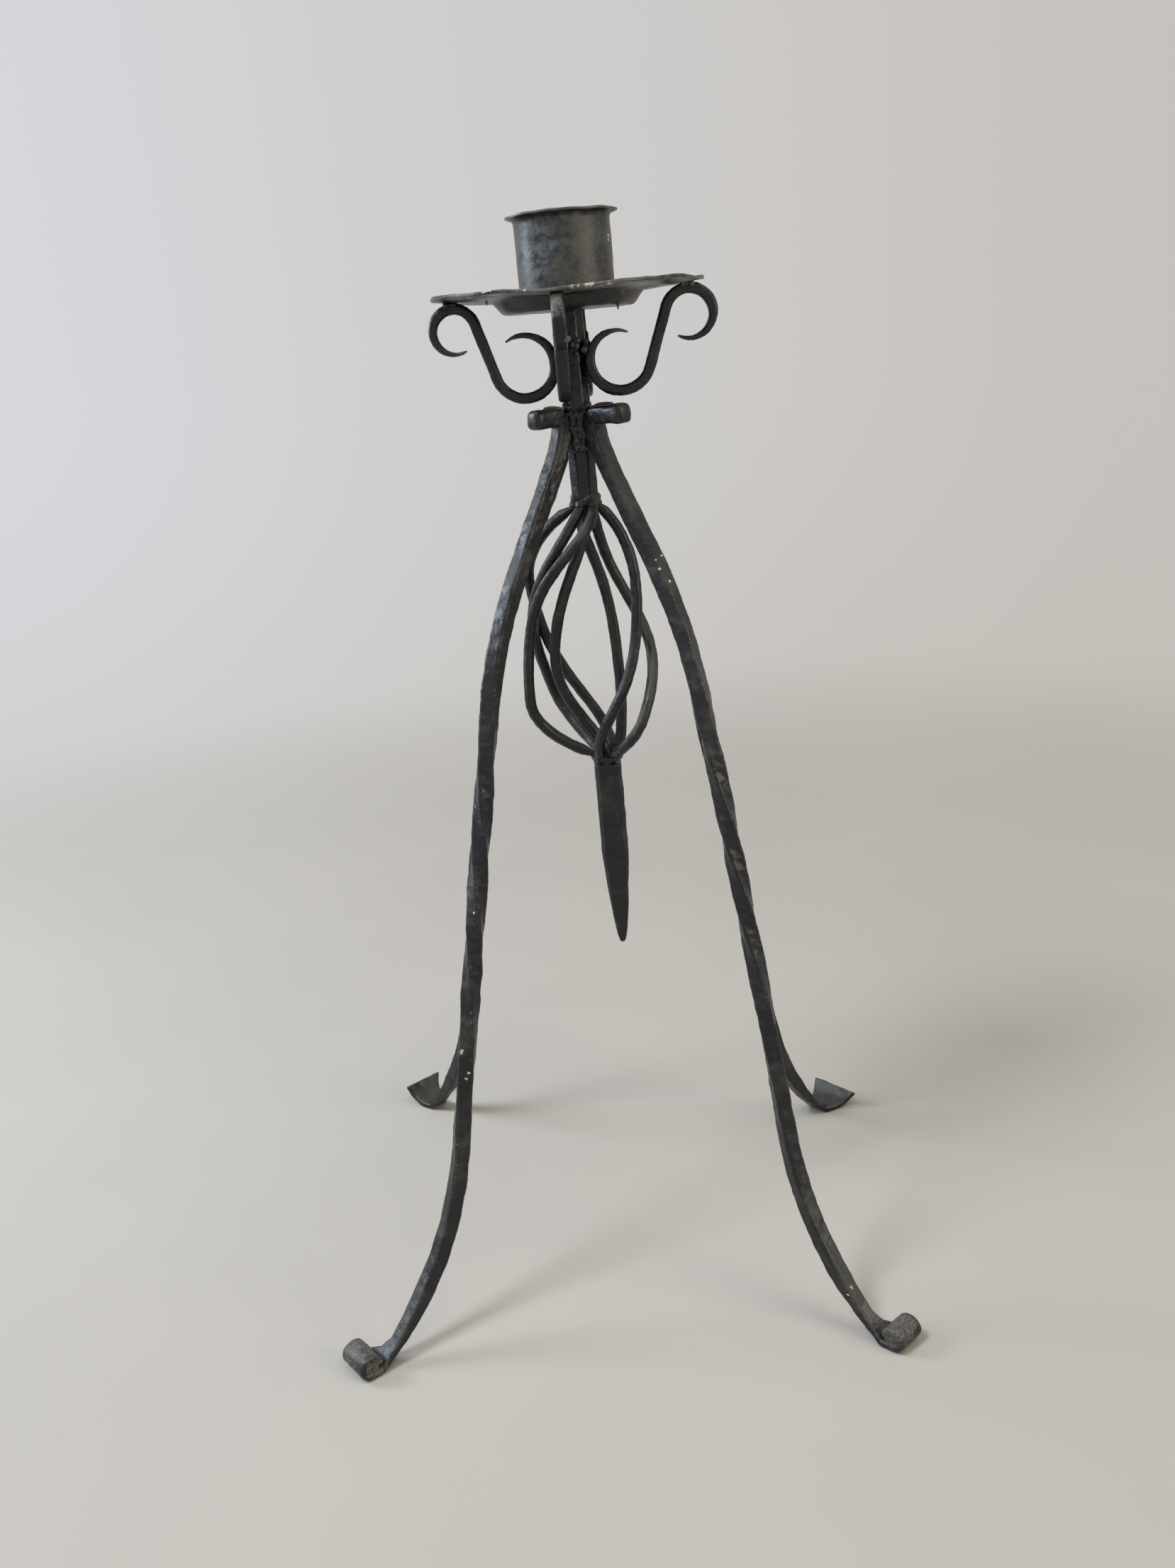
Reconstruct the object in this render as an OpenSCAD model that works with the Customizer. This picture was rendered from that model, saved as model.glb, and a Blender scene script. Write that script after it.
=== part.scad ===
// Torchere candle stand: a candle cup and drip pan on a chamfered stem with four S-scroll
// brackets, four splayed square-bar legs and a twisted basket of round rods with a spike below.
// Millimetres, +Z up. The origin is on the floor at the centre of the footprint.

/* [Candle cup] */
// Inside diameter of the candle cup
cup_bore = 42; // [34:0.5:60]
// Depth inside the cup, from its floor to the lip
cup_depth = 40; // [20:1:60]
// Wall and floor thickness of the cup
cup_wall = 1.2; // [0.8:0.1:2]
// Height of the flare at the lip
cup_flare = 4; // [2.5:0.5:8]
// How far the lip runs out flat past the flare
lip_flat = 1; // [0.5:0.5:4]

/* [Drip pan] */
// Height of the pan's underside above the floor
pan_height = 491.5; // [470:0.5:520]
// Outside diameter of the drip pan
pan_d = 127; // [118:1:180]
// Sheet thickness of the pan
pan_sheet = 1.6; // [1:0.1:3]
// Diameter of the flat floor of the dish
dish_floor_d = 58; // [52:1:66]
// Diameter at the top of the dish, where the brim starts
dish_d = 73; // [70:1:90]
// Depth of the dish below the start of the brim
dish_depth = 6.1; // [3:0.1:10]
// Rise of the brim from the dish to the pan's edge
brim_rise = 1.8; // [0:0.1:5]

/* [Stem] */
// Width of the stem across its flats
stem_w = 12.6; // [10:0.2:16]
// Length of the stem, from the basket's top weld to the pan
stem_length = 86.5; // [80:0.5:110]
// Diameter of the tenon through the pan and the cup
tenon_d = 8; // [5:0.5:9.5]
// Radial clearance of the tenon in its holes
tenon_gap = 0.1; // [0.05:0.05:0.3]
// Diameter of the tenon's end, peened out flush into the cup's floor
head_d = 13; // [11:0.5:18]

/* [Scroll brackets] */
// Thickness of the bracket bar, in the plane of the scroll
bracket_thickness = 5; // [3:0.5:6]
// Width of the bracket bar, across the plane of the scroll
bracket_width = 6; // [4:0.5:8]
// Radius of the front and back brackets' upper scroll, which carries the pan
upper_scroll_r = 10.8; // [8:0.2:12]
// Radius of the left bracket's upper scroll
left_scroll_r = 10.2; // [8:0.2:12]
// Radius of the right bracket's upper scroll
right_scroll_r = 11.2; // [8:0.2:12]
// Radius of the lower scroll, which lies against the stem
lower_scroll_r = 14.3; // [11:0.1:15.5]
// Distance from the stem's axis to the middle of the upper scroll
upper_scroll_reach = 55.4; // [50:0.2:58]
// Depth of the lower scroll's middle below the pan's floor
lower_scroll_drop = 23.8; // [21:0.1:27]
// How far round the upper scroll curls
upper_scroll_turn = 282; // [240:1:300]
// How far round the lower scroll curls past the stem
lower_scroll_turn = 116; // [60:1:130]
// How far round the left bracket's lower scroll curls
left_scroll_turn = 124; // [60:1:130]
// Distance from the stem's axis to the middle of the left bracket's upper scroll
left_scroll_reach = 54.2; // [50:0.2:58]
// How much tighter the end of the lower scroll is bent
scroll_tuck = 1.4; // [0:0.1:3]
// Length over which each end of the scroll is drawn out thin
scroll_taper = 30; // [15:1:40]
// Thickness of the scroll's drawn-out ends
scroll_tip = 0.8; // [0.6:0.1:2]
// Sideways offset of the front, right and back brackets, beside the stem's centre line
bracket_offset = 5.6; // [0:0.2:6]

/* [Legs] */
// Side of the square leg bar
leg_bar = 8; // [6:0.2:9]
// Width of the broken edges of the leg bar
leg_edge = 1; // [0.4:0.1:1.6]
// Gap between the scroll brackets and the leg tabs below them
tab_gap = 2.3; // [1:0.1:12]
// Distance from the stem's axis to the tip of the front left leg's tab
front_left_tab = 26; // [23:0.5:40]
// Distance from the stem's axis to the tip of the front right leg's tab
front_right_tab = 30.5; // [23:0.5:40]
// Distance from the stem's axis to the tips of the rear legs' tabs
rear_tab = 20; // [19:0.5:40]
// Height of the tab's hammered end
tab_end_h = 9.8; // [9:0.1:12]
// Width of the tab's hammered end
tab_end_w = 9; // [8:0.1:12]
// Bend radius between the top tab and the leg
tab_bend_r = 4.6; // [4.6:0.1:8]
// Slope of the leg just under its top bend, from straight down
neck_slope = 13.5; // [10:0.1:30]
// Slope of the leg's shoulder
shoulder_slope = 30.5; // [28:0.5:40]
// Slope of the long shank
shank_slope = 12; // [6:0.1:18]
// Slope at which the leg reaches the foot
ankle_slope = 54.3; // [40:0.1:64]
// Bend radius from the neck to the shoulder
neck_r = 61.5; // [50:0.5:160]
// Length of the straight shoulder
shoulder_length = 53; // [40:1:70]
// Bend radius from the shoulder to the shank
knee_r = 217; // [120:1:230]
// Bend radius from the shank to the foot
ankle_r = 151; // [120:1:200]
// How far the leg bar is twisted in all, in half turns
leg_half_turns = 2; // [0:1:4]
// Distance from the stem's axis to the middle of the front left foot's sole
front_left_reach = 180; // [160:1:210]
// Distance from the stem's axis to the front right foot's sole
front_right_reach = 166; // [150:0.5:200]
// Distance from the stem's axis to the rear left foot's sole
rear_left_reach = 200; // [160:1:210]
// Distance from the stem's axis to the rear right foot's sole
rear_right_reach = 157; // [140:1:200]
// How much further out than the others the rear left leg's shank stands
rear_left_shift = 28.5; // [0:0.5:40]
// How much further in than the others the rear right leg's shank stands
rear_right_shift = 4.5; // [0:0.5:14]
// Direction of the front left leg around the stem
front_left_turn = -142.3; // [-146:0.1:-130]
// Direction of the front right leg
front_right_turn = -48.1; // [-55:0.1:-40]
// Direction of the rear left leg
rear_left_turn = 131.8; // [128:0.1:142]
// Direction of the rear right leg
rear_right_turn = 40.8; // [36:0.1:50]

/* [Feet] */
// Thickness of the flattened foot
foot_thickness = 3.6; // [2.5:0.1:5]
// Width of the front left foot's rolled end
front_left_foot_width = 20; // [12:0.5:28]
// Width of the front right foot's rolled end
front_right_foot_width = 17; // [12:0.5:28]
// Width of the rear left foot's fishtail end
rear_left_foot_width = 26; // [14:0.5:32]
// Width of the rear right foot's fishtail end
rear_right_foot_width = 32; // [14:0.5:36]
// Diameter over the front feet's rolls
front_roll_d = 12.8; // [11:0.1:20]
// How far round the front feet are rolled, from straight down
front_roll_turn = 355; // [300:1:360]
// Length of the flat tread under the front feet
front_tread = 4.5; // [3:0.5:8]
// Bend radius of the rear feet's upward curl
rear_curl_r = 9; // [6:0.5:16]
// How far round the rear left foot's end curls
rear_left_curl = 165; // [130:1:200]
// How far round the rear right foot's end curls
rear_right_curl = 148; // [130:1:200]
// Length of the flat tread under the rear feet
rear_tread = 3; // [1:0.5:8]
// Length of the straight end of the rear left foot
rear_left_tip = 3.5; // [2:0.5:10]
// Length of the straight end of the rear right foot
rear_right_tip = 3.5; // [2:0.5:10]
// Length over which the bar is drawn out into the foot
foot_taper = 42; // [30:1:60]

/* [Basket] */
// Length of the basket's rods
basket_length = 126; // [100:1:150]
// Diameter of each round rod
rod_d = 5.8; // [4:0.1:6.5]
// Twist of the basket from its top to its bottom
basket_twist = 130; // [90:5:180]
// How far the bent basket leans out to the left at its belly
basket_lean = 5.5; // [0:0.5:8]
// Thickness of the weld beads at the basket's ends
weld_h = 4; // [3:0.5:6]

/* [Spike] */
// Length of the spike below the basket
spike_length = 100; // [60:1:140]
// Width of the spike across its flats
spike_w = 13.8; // [10:0.2:16]
// Length of the spike's drawn-out point
point_length = 52; // [30:1:58]

/* [Hidden] */

iron = [0.13, 0.13, 0.14];
dusty_iron = [0.2, 0.2, 0.21];
round_faces = 96;
tenon_faces = 48;
weld_faces = 64;
ring_step = 6.5;   // longest stretch of bar between two rings of points
ring_turn = 13;    // sharpest turn between two rings of points
weld_bite = 0.1;   // how far welded bars run into what they meet

// Heights above the floor
cup_height = pan_height + pan_sheet;
stem_foot_height = pan_height - stem_length;
basket_top_height = stem_foot_height - weld_h;
basket_bottom_height = basket_top_height - basket_length;
spike_top_height = basket_bottom_height - weld_h;
lower_scroll_height = pan_height - lower_scroll_drop;
tab_height = lower_scroll_height - lower_scroll_r - (bracket_thickness + tab_end_h) / 2 - tab_gap;

// ---- Outlines and bars ----

// Points on an arc about [x, y], both ends included
function arc(middle, radius, from, to, steps) =
    [for (k = [0:steps]) middle + radius * polar(from + (to - from) * k / steps)];

function polar(angle) = [cos(angle), sin(angle)];

edge_share = 0.45;     // the most of a bar's half side that its broken edge takes

// A rectangle of the given half sizes with broken edges, turned by twist
function bar_section(half_a, half_b, edge, twist = 0) =
    let (
        e = min(edge, edge_share * half_a, edge_share * half_b),
        corners = [
            [half_a, half_b - e], [half_a - e, half_b], [e - half_a, half_b], [-half_a, half_b - e],
            [-half_a, e - half_b], [e - half_a, -half_b], [half_a - e, -half_b], [half_a, e - half_b]
        ]
    )
    [for (p = corners) [p[0] * cos(twist) - p[1] * sin(twist), p[0] * sin(twist) + p[1] * cos(twist)]];

// A path lies in an upright plane through the stem. Each of its stations is
// [distance out, height, heading], and the heading turns from down (0) to outwards (90).
function after(at, length, turn) =
    turn == 0
    ? [at[0] + length * sin(at[2]), at[1] - length * cos(at[2]), at[2]]
    : let (radius = length / turn * 180 / PI, end = at[2] + turn)
      [at[0] + radius * (cos(at[2]) - cos(end)), at[1] - radius * (sin(end) - sin(at[2])), end];

function bend(radius, turn) = [radius * abs(turn) * PI / 180, turn];

// Follows a list of [length, turn] moves, with stations close enough for a smooth bar
function follow(moves, at, i = 0) =
    i == len(moves) ? [] :
    let (
        length = moves[i][0],
        turn = moves[i][1],
        steps = max(1, ceil(length / ring_step), ceil(abs(turn) / ring_turn)),
        stations = [for (k = [1:steps]) after(at, length * k / steps, turn * k / steps)]
    )
    concat(stations, follow(moves, stations[steps - 1], i + 1));

// Distance along the path to each station
function distances(path, i = 1, so_far = [0]) =
    i == len(path) ? so_far :
    distances(path, i + 1, concat(so_far, [so_far[i - 1] + norm(path[i] - path[i - 1])]));

function places(path) = [for (p = path) [p[0], p[1]]];

// The section's points at a station, as [out, sideways, up]
function ring(at, section) =
    [for (p = section) [at[0] + p[0] * cos(at[2]), p[1], at[1] + p[0] * sin(at[2])]];

// A closed bar through rings of points
module bar(rings) {
    sides = len(rings[0]);
    last = len(rings) - 1;
    function number(i, k) = i * sides + (k + sides) % sides;
    start_cap = [for (k = [1:sides - 2]) [0, k, k + 1]];
    end_cap = [for (k = [1:sides - 2]) [number(last, 0), number(last, k + 1), number(last, k)]];
    walls = [
        for (i = [0:last - 1], k = [0:sides - 1])
            each [
                [number(i, k), number(i + 1, k), number(i + 1, k + 1)],
                [number(i, k), number(i + 1, k + 1), number(i, k + 1)]
            ]
    ];
    polyhedron(points = [for (r = rings) each r], faces = concat(start_cap, walls, end_cap));
}

// A smooth rise from 0 to 1 as x goes from one value to another
function eased(from, to, x) =
    let (t = max(0, min(1, (x - from) / (to - from))))
    t * t * (3 - 2 * t);

// A rise from 0 to 1 as x goes from 0 to 1, level at both ends and made earlier with more haste
function settled(x, haste) =
    let (t = max(0, min(1, x)))
    1 - pow(1 - t, haste) * (1 + haste * t);

// ---- Legs ----

// The legs in order: front left, front right, rear left, rear right
leg_turn = [front_left_turn, front_right_turn, rear_left_turn, rear_right_turn];
leg_tab = [front_left_tab, front_right_tab, rear_tab, rear_tab];
leg_shift = [0, 0, rear_left_shift, -rear_right_shift];
leg_reach = [front_left_reach, front_right_reach, rear_left_reach, rear_right_reach];
front_curl_r = (front_roll_d - foot_thickness) / 2;
leg_curl_r = [front_curl_r, front_curl_r, rear_curl_r, rear_curl_r];
leg_curl = [front_roll_turn, front_roll_turn, rear_left_curl, rear_right_curl];
leg_tread = [front_tread, front_tread, rear_tread, rear_tread];
leg_tip = [0, 0, rear_left_tip, rear_right_tip];
leg_foot_width = [
    front_left_foot_width, front_right_foot_width, rear_left_foot_width, rear_right_foot_width
];
// The side to which each foot is spread: one side only at 1 or -1, both alike at 0
leg_spread = [-1, 1, -0.5, 0];
leg_half = leg_bar / 2;
sole_height = foot_thickness / 2;
tab_rounding = 1.2;     // length of the rounding on the tab's hammered end
tab_end_share = 0.78;   // the rounded end's share of the tab's width and height
tab_swell = 12;         // length over which the tab's end is wider than the bar
tail_flare = 2;         // how late a rear foot widens into its fishtail
roll_flare = 9;         // length over which the bar widens into a front foot's roll
leg_shift_depth = [1, 1, 1, 0.15];    // share of each leg's height over which its shank is shifted
leg_shift_haste = [2, 2, 4, 2];       // how early on that height the shift is made
leg_stretch = [3.6, 2.5, 20, 8.5];    // how late each leg's reach makes itself felt
twisted_stretch = [0.05, 0.97];       // shares of the leg's height between which it is twisted
tight_stretch = [0.3, 0.66];          // the stretch that takes half of the twist

// How far the eight-sided stem reaches in a direction
function stem_reach(turn) =
    let (corner_r = stem_w / 2 / cos(22.5))
    max([for (k = [0:7]) corner_r * cos(turn - 22.5 - 45 * k)]);

// Height that a bend takes up between two slopes
function bend_drop(radius, from, to) = radius * abs(sin(to) - sin(from));

// The straight shank takes the height that the bends leave
function shank_drop(n) = tab_height - sole_height
    - tab_bend_r * (1 + sin(neck_slope))
    - bend_drop(neck_r, neck_slope, shoulder_slope)
    - shoulder_length * cos(shoulder_slope)
    - bend_drop(knee_r, shoulder_slope, shank_slope)
    - bend_drop(ankle_r, shank_slope, ankle_slope)
    - bend_drop(leg_curl_r[n], ankle_slope, 90);

// The foot: down onto its tread, round its curl and along its straight end, if it has one
function foot_moves(n) =
    let (
        moves = [
            bend(leg_curl_r[n], 90 - ankle_slope),
            [leg_tread[n], 0],
            bend(leg_curl_r[n], leg_curl[n] - 90),
            [leg_tip[n], 0]
        ]
    )
    [for (move = moves) if (move[0] > 0) move];

function foot_length(n) = total([for (move = foot_moves(n)) move[0]]);
function total(list, i = 0) = i == len(list) ? 0 : list[i] + total(list, i + 1);

// The leg from the tab's tip down to the start of the foot, before it is splayed
function plain_leg(n) =
    let (
        start = [leg_tab[n], tab_height, -90],
        tab_length = leg_tab[n] - stem_reach(leg_turn[n]) - leg_half + weld_bite - tab_bend_r,
        moves = [
            [tab_rounding, 0],
            [tab_length - tab_rounding, 0],
            bend(tab_bend_r, 90 + neck_slope),
            bend(neck_r, shoulder_slope - neck_slope),
            [shoulder_length, 0],
            bend(knee_r, shank_slope - shoulder_slope),
            [shank_drop(n) / cos(shank_slope), 0],
            bend(ankle_r, ankle_slope - shank_slope)
        ]
    )
    concat([start], follow(moves, start));

// How far out a leg is carried at a share of its height: by the shift along its shank, and
// by extra at its sole
function drift(n, depth, extra) =
    leg_shift[n] * settled(depth / leg_shift_depth[n], leg_shift_haste[n])
    + (extra - leg_shift[n]) * pow(depth, leg_stretch[n]);

// Carries a station outwards, by more the lower it lies
function splayed(n, at, extra) =
    let (
        depth = max(0, tab_height - at[1]) / tab_height,
        step = 0.001,
        here = drift(n, depth, extra),
        lean = (drift(n, depth + step, extra) - here) / (step * tab_height)
    )
    [at[0] + here, at[1], atan2(sin(at[2]) + lean * cos(at[2]), cos(at[2]))];

function leg_twist(at) =
    let (depth = (tab_height - at[1]) / tab_height)
    90 * leg_half_turns * (
        eased(twisted_stretch[0], twisted_stretch[1], depth)
        + eased(tight_stretch[0], tight_stretch[1], depth)
    );

// The bar's section at a distance from the tab's tip: swollen at the tab, square along the
// leg, and drawn out flat and wide towards the foot's end
function leg_section(n, distance, whole, twist) =
    let (
        end = distance == 0 ? tab_end_share : 1,
        swell = 1 - eased(0, tab_swell, distance),
        to_end = whole - distance,
        foot = foot_length(n),
        flat = eased(foot + foot_taper, foot, to_end),
        flare = leg_tip[n] == 0
            ? eased(foot + roll_flare, foot, to_end)
            : pow(max(0, 1 - to_end / (foot + foot_taper / 2)), tail_flare),
        height = leg_bar + (tab_end_h - leg_bar) * swell - (leg_bar - foot_thickness) * flat,
        spread = (leg_foot_width[n] - leg_bar) * flare,
        width = leg_bar + (tab_end_w - leg_bar) * swell + spread,
        section = bar_section(end * height / 2, end * width / 2, leg_edge, twist)
    )
    [for (p = section) p + [0, leg_spread[n] * spread / 2]];

function leg_rings(n) =
    let (
        upper = plain_leg(n),
        path = concat(upper, follow(foot_moves(n), upper[len(upper) - 1])),
        sole_out = upper[len(upper) - 1][0] + leg_curl_r[n] * cos(ankle_slope) + leg_tread[n] / 2,
        along = distances(places(path)),
        whole = along[len(along) - 1]
    )
    [
        for (i = [0:len(path) - 1])
            ring(
                splayed(n, path[i], leg_reach[n] - sole_out),
                leg_section(n, along[i], whole, leg_twist(path[i]))
            )
    ];

legs = [for (n = [0:3]) [leg_turn[n], leg_rings(n)]];

module leg(number) {
    color(iron)
        on_footprint()
            rotate([0, 0, legs[number][0]])
                bar(legs[number][1]);
}

// ---- Footprint ----

// Every point of the legs as seen from above, about the stem
leg_plan = [
    for (one = legs, r = one[1], p = r)
        [p[0] * cos(one[0]) - p[1] * sin(one[0]), p[0] * sin(one[0]) + p[1] * cos(one[0])]
];
leg_plan_x = [for (p = leg_plan) p[0]];
leg_plan_y = [for (p = leg_plan) p[1]];
footprint_middle = [
    (min(leg_plan_x) + max(leg_plan_x)) / 2,
    (min(leg_plan_y) + max(leg_plan_y)) / 2,
    0
];

// Puts a piece that is drawn about the stem's axis where the stem stands on the footprint
module on_footprint() {
    translate(-footprint_middle)
        children();
}

// ---- Candle cup and drip pan ----

cup_r = cup_bore / 2;
flare_r = cup_r + cup_flare;
tenon_hole_r = tenon_d / 2 + tenon_gap;
cup_floor = cup_height + cup_wall;
cup_lip = cup_floor + cup_depth;
flare_steps = 8;

module candle_cup() {
    color(dusty_iron)
        on_footprint()
            rotate_extrude($fn = round_faces)
                polygon(concat(
                    [[tenon_hole_r, cup_height], [cup_r + cup_wall, cup_height]],
                    arc([flare_r, cup_lip - cup_flare], cup_flare - cup_wall, 180, 90, flare_steps),
                    [[flare_r + lip_flat, cup_lip - cup_wall], [flare_r + lip_flat, cup_lip]],
                    arc([flare_r, cup_lip - cup_flare], cup_flare, 90, 180, flare_steps),
                    [[cup_r, cup_floor], [head_d / 2, cup_floor]]
                ));
}

dish_r = dish_d / 2;
dish_floor_r = dish_floor_d / 2;
brim_height = pan_height + dish_depth;
dish_steps = 10;

// Height of the pan's underside at a distance from the axis
function pan_under(r) =
    r < dish_r
    ? pan_height + dish_depth * (1 - cos(180 * max(0, r - dish_floor_r) / (dish_r - dish_floor_r))) / 2
    : brim_height + brim_rise * (r - dish_r) / (pan_d / 2 - dish_r);

module drip_pan() {
    stations = concat(
        [tenon_hole_r],
        [for (k = [0:dish_steps]) dish_floor_r + (dish_r - dish_floor_r) * k / dish_steps],
        [pan_d / 2]
    );
    under = [for (r = stations) [r, pan_under(r)]];
    top = [for (k = [len(stations) - 1:-1:0]) under[k] + [0, pan_sheet]];
    color(iron)
        on_footprint()
            rotate_extrude($fn = round_faces)
                polygon(concat(under, top));
}

// ---- Stem ----

// The tenon goes up through the pan and fills the countersink in the cup's floor
module stem() {
    tenon_r = tenon_d / 2;
    tenon_foot = pan_height - tenon_d;
    color(iron)
        on_footprint() {
            translate([0, 0, stem_foot_height])
                rotate([0, 0, 22.5])
                    cylinder(h = stem_length, d = stem_w / cos(22.5), $fn = 8);
            rotate_extrude($fn = tenon_faces)
                polygon([
                    [0, tenon_foot], [tenon_r, tenon_foot], [tenon_r, cup_height],
                    [tenon_hole_r, cup_height], [head_d / 2, cup_floor], [0, cup_floor]
                ]);
        }
}

// ---- Scroll brackets ----

// Distance from the stem's axis to the bracket bar that lies against the stem: against its
// flat, or against its broad chamfer for a bracket that passes beside the middle
bracket_edge = 1;
function bracket_out(side) =
    min(
        (stem_w + bracket_thickness) / 2,
        stem_w / sqrt(2) + (bracket_thickness + bracket_width) / 2 - bracket_edge - abs(side)
    ) - weld_bite;

// The S-scroll: round the upper scroll, straight across to the lower one, and round that
function bracket_path(side, upper_r, reach, tuck, lower_turn) =
    let (
        lower = [bracket_out(side) + lower_scroll_r, lower_scroll_height],
        upper = [
            reach,
            pan_under(norm([reach, side])) - bracket_thickness / 2 - upper_r + weld_bite
        ],
        between = lower - upper,
        radii = upper_r + lower_scroll_r,
        straight = sqrt(between * between - radii * radii),
        heading = atan2(between[1], between[0]) + 360 + atan2(radii, straight),
        from = heading - 90 - upper_scroll_turn,
        tip = upper + upper_r * polar(from),
        start = [tip[0], tip[1], from + 180],
        moves = [
            bend(upper_r, upper_scroll_turn),
            [straight, 0],
            bend(lower_scroll_r, 90 - heading),
            bend(lower_scroll_r - tuck, -lower_turn)
        ]
    )
    concat([start], follow(moves, start));

scroll_fullness = 0.75;   // below 1, a scroll's end keeps its thickness longer
function bracket_half(to_end) =
    (scroll_tip + (bracket_thickness - scroll_tip) * pow(min(1, to_end / scroll_taper), scroll_fullness)) / 2;

module scroll_bracket(turn, side, path) {
    along = distances(places(path));
    whole = along[len(along) - 1];
    color(iron)
        on_footprint()
            rotate([0, 0, turn])
                translate([0, side, 0])
                    bar([
                        for (i = [0:len(path) - 1])
                            ring(path[i], bar_section(
                                bracket_half(min(along[i], whole - along[i])),
                                bracket_width / 2,
                                bracket_edge
                            ))
                    ]);
}

// The front, right and back brackets pass beside the middle of the stem
function pinwheel_path(upper_r) =
    bracket_path(-bracket_offset, upper_r, upper_scroll_reach, scroll_tuck, lower_scroll_turn);

module scroll_bracket_right() scroll_bracket(0, -bracket_offset, pinwheel_path(right_scroll_r));
module scroll_bracket_back() scroll_bracket(90, -bracket_offset, pinwheel_path(upper_scroll_r));
module scroll_bracket_front() scroll_bracket(-90, -bracket_offset, pinwheel_path(upper_scroll_r));
module scroll_bracket_left() {
    scroll_bracket(180, 0, bracket_path(0, left_scroll_r, left_scroll_reach, 0, left_scroll_turn));
}

module leg_front_left() leg(0);
module leg_front_right() leg(1);
module leg_rear_left() leg(2);
module leg_rear_right() leg(3);

// ---- Basket ----

// Six rods stand in a ring about the seventh. Each was bent by hand, so each has its own belly.
rod_r = rod_d / 2;
rod_ring_r = rod_d + 0.2;
rod_start = [4, 64, 124, 184, 244, 304, 274];         // direction of each rod's top end
rod_belly = [27, 33.5, 15.5, 28.2, 31.6, 31, 17];     // how far each rod bulges out
rod_belly_depth = [0.32, 0.82, 0.7, 0.3, 0.76, 0.74, 0.58];  // share of the length down to it
rod_lag = [44, 16, -40, 24, -24, -51, -6];            // how far its middle trails the twist
rod_skew = [-10, 10, -8, -10, 2, -19, -11];           // how far its upper half trails its lower
rod_stations = 26;
end_crowding = 0.3;   // how much closer a rod's stations stand near its ends
rod_sides = 8;
top_fullness = 0.62;    // below 1, a rod bulges out sooner below the top weld
bottom_fullness = 0.7;  // the same above the bottom weld
core_delay = 1.6;       // the seventh rod follows once the others have made room for it
soft_start = 0.15;      // share of the bulge over which a rod bends away from straight

// How far a rod has bulged at a share t of its length, from 0 at its ends to 1
function soft_rise(angle) =
    let (s = sin(angle))
    s * s / (s + soft_start) * (1 + soft_start);
function bulge(t, belly_depth) =
    t < belly_depth
    ? pow(soft_rise(90 * t / belly_depth), top_fullness)
    : pow(soft_rise(90 * (1 - t) / (1 - belly_depth)), bottom_fullness);

function rod_point(number, t) =
    let (
        core = number == 6,
        out = pow(bulge(t, rod_belly_depth[number]), core ? core_delay : 1),
        end_r = core ? 0 : rod_ring_r,
        r = end_r + (rod_belly[number] - end_r) * out,
        turn = rod_start[number] - basket_twist * t + rod_lag[number] * sin(180 * t)
            + rod_skew[number] * sin(360 * t)
    )
    [
        r * cos(turn) - basket_lean * out,
        r * sin(turn),
        basket_top_height - basket_length * t
    ];

function unit(v) = v / norm(v);

// A round section square to the rod's direction, at a point on the rod
function rod_ring(middle, direction) =
    let (
        a = unit([1, 0, 0] - direction[0] * direction),
        b = cross(a, direction)
    )
    [
        for (k = [0:rod_sides - 1])
            let (angle = 360 * (k + 0.5) / rod_sides)
            middle + rod_r * (cos(angle) * a + sin(angle) * b)
    ];

module basket_rod(number) {
    // Stations crowd a little towards the ends, where the rod bends most
    shares = [
        for (i = [0:rod_stations])
            let (t = i / rod_stations)
            t + end_crowding * ((1 - cos(180 * t)) / 2 - t)
    ];
    points = [for (t = shares) rod_point(number, t)];
    color(iron)
        on_footprint()
            bar([
                for (i = [0:rod_stations])
                    rod_ring(
                        points[i],
                        i == 0 || i == rod_stations ? [0, 0, -1] : unit(points[i + 1] - points[i - 1])
                    )
            ]);
}

module basket_rod_1() basket_rod(0);
module basket_rod_2() basket_rod(1);
module basket_rod_3() basket_rod(2);
module basket_rod_4() basket_rod(3);
module basket_rod_5() basket_rod(4);
module basket_rod_6() basket_rod(5);
module basket_rod_7() basket_rod(6);

// A bead of weld, as wide as the ring of rods on one side and drawn in to the bar on the other
weld_margin = 0.4;
weld_steps = 5;
module weld_bead(rods_height, bar_height, bar_r) {
    broad_r = rod_ring_r + rod_r;
    narrow_r = bar_r + weld_margin;
    color(iron)
        on_footprint()
            rotate_extrude($fn = weld_faces)
                polygon(concat(
                    [[0, rods_height]],
                    [
                        for (k = [0:weld_steps])
                            let (t = k / weld_steps)
                            [
                                broad_r - (broad_r - narrow_r) * t * t,
                                rods_height + (bar_height - rods_height) * t
                            ]
                    ],
                    [[0, bar_height]]
                ));
}

module basket_top_weld() {
    weld_bead(basket_top_height, stem_foot_height, stem_w / 2 / cos(22.5));
}
module basket_bottom_weld() {
    weld_bead(basket_bottom_height, spike_top_height, norm([spike_w / 2, spike_w / 2 - spike_edge]));
}

// ---- Spike ----

spike_edge = 2;
point_steps = 7;
point_fullness = 0.6;   // below 1, the point keeps its width longer
module spike() {
    tip_half = 1;
    shank_end = spike_top_height - spike_length + point_length;
    color(iron)
        on_footprint()
            bar(concat(
                [ring([0, spike_top_height, 0], bar_section(spike_w / 2, spike_w / 2, spike_edge))],
                [
                    for (k = [point_steps:-1:0])
                        let (
                            left = pow(k / point_steps, 2),
                            half = tip_half + (spike_w / 2 - tip_half) * pow(left, point_fullness)
                        )
                        ring(
                            [0, shank_end - point_length * (1 - left), 0],
                            bar_section(half, half, spike_edge * half * 2 / spike_w)
                        )
                ]
            ));
}

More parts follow.
